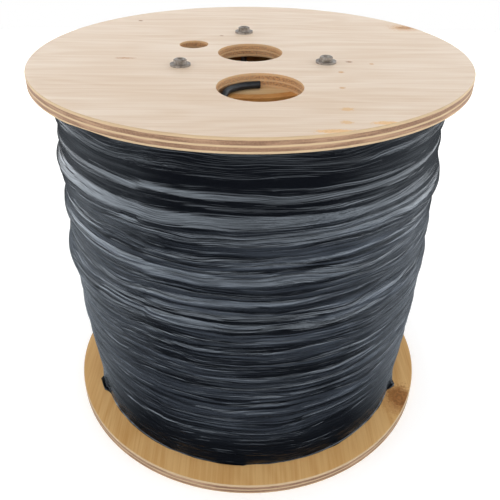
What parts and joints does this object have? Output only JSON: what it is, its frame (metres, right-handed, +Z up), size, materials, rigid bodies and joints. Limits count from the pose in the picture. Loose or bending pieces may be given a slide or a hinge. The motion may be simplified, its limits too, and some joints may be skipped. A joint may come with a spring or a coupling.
{
  "type": "wooden cable drum",
  "caption": "Upright plywood drum full of black cable under stretch film, with a round arbor hole on its axis and a side hole for the cable's start.",
  "frame": {"origin": "centre of the underside of the bottom flange, on the floor", "axes": "+Z up along the drum's axis, -Y towards the cable hole in the top flange, +X to the right seen from that side"},
  "size_m": [0.4, 0.4, 0.3796],
  "materials": {
    "plywood": "bare sanded softwood plywood",
    "barrel_board": "dull brown board",
    "cable_sheath": "satin black",
    "stretch_film": "glossy, wrinkled",
    "weathered_zinc": "dull, weathered zinc"
  },
  "bodies": {
    "root": {"top_flange": "plywood", "bottom_flange": "plywood", "barrel_ring_top": "plywood", "barrel_ring_bottom": "plywood", "barrel_tube": "barrel_board", "wound_cable": "cable_sheath", "cable_start": "cable_sheath", "film_wrap": "stretch_film", "tie_bolt_1": "weathered_zinc", "tie_bolt_2": "weathered_zinc", "tie_bolt_3": "weathered_zinc", "washer_1": "weathered_zinc", "washer_2": "weathered_zinc", "washer_3": "weathered_zinc", "tee_nut_1": "weathered_zinc", "tee_nut_2": "weathered_zinc", "tee_nut_3": "weathered_zinc"}
  },
  "joints": []
}
